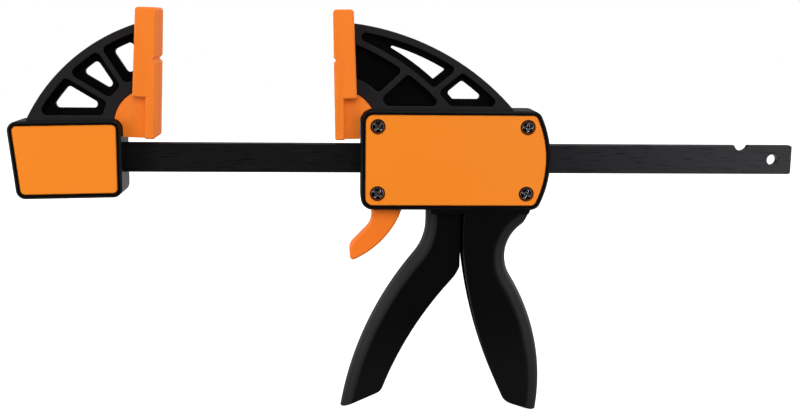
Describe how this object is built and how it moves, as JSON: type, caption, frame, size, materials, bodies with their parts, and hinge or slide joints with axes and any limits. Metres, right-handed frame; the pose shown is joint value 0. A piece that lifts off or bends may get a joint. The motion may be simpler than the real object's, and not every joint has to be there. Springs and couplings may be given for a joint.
{
  "type": "quick release bar clamp",
  "caption": "One-handed bar clamp: a sliding jaw with trigger grip and release lever, a fixed jaw, slotted pads and a flat steel bar.",
  "frame": {"origin": "centre line of the bar, at the middle height plane of the fixed jaw's clamping face", "axes": "+X along the bar from the fixed jaw to its free end, +Z from the bar up to the jaws, -Y the front with the covers"},
  "size_m": [0.5332, 0.034, 0.2782],
  "materials": {
    "moulded_black_nylon": "fine sparked texture, half-matte black glass-filled nylon",
    "moulded_orange_plastic": "satin orange moulding",
    "orange_soft_pad": "soft matte orange pad",
    "blackened_bar_steel": "black oxide with lengthwise mill streaks",
    "plated_steel": "bright zinc plate",
    "spring_steel": "drawn spring wire",
    "black_screw_steel": "black phosphate"
  },
  "bodies": {
    "bar_and_fixed_jaw": {"bar": "blackened_bar_steel", "fixed_jaw": "moulded_black_nylon", "fixed_jaw_cover": "moulded_orange_plastic", "fixed_jaw_pad": "orange_soft_pad", "jaw_roll_pin": "plated_steel", "jaw_key_pin": "plated_steel"},
    "moving_head": {"moving_jaw": "moulded_black_nylon", "mechanism_cover": "moulded_orange_plastic", "cover_screws": "black_screw_steel", "moving_jaw_pad": "orange_soft_pad", "trigger_pivot_pin": "plated_steel", "drive_spring": "spring_steel", "brake_spring": "spring_steel", "spring_washer": "plated_steel"},
    "trigger": {"trigger_handle": "moulded_black_nylon"},
    "drive_levers": {"drive_lever_front": "plated_steel", "drive_lever_rear": "plated_steel"},
    "brake": {"brake_lever": "plated_steel", "release_trigger": "moulded_orange_plastic", "release_rivet": "plated_steel"}
  },
  "joints": [
    {"name": "jaw_slide", "type": "slide", "parent": "bar_and_fixed_jaw", "child": "moving_head", "axis": [1, 0, 0], "range_m": [-0.1142, 0.15]},
    {"name": "trigger_squeeze", "type": "hinge", "parent": "moving_head", "child": "trigger", "pos_m": [0.19, 0, 0.019], "axis": [0, -1, 0], "range_deg": [0, 16], "stiffness_Nm_per_rad": 1.2, "springref_deg": -4.01},
    {"name": "drive_lever_slide", "type": "slide", "parent": "moving_head", "child": "drive_levers", "axis": [1, 0, 0], "range_m": [0, 0.0098], "deforming": ["drive_spring"]},
    {"name": "brake_release", "type": "hinge", "parent": "moving_head", "child": "brake", "pos_m": [0.1605, 0, 0.0252], "axis": [0, -1, 0], "range_deg": [0, 6], "stiffness_Nm_per_rad": 1, "springref_deg": -4.01, "deforming": ["brake_spring"]}
  ],
  "couplings": [
    {"joint": "drive_lever_slide", "follows": "trigger_squeeze", "m_per_rad": 0.0345}
  ]
}
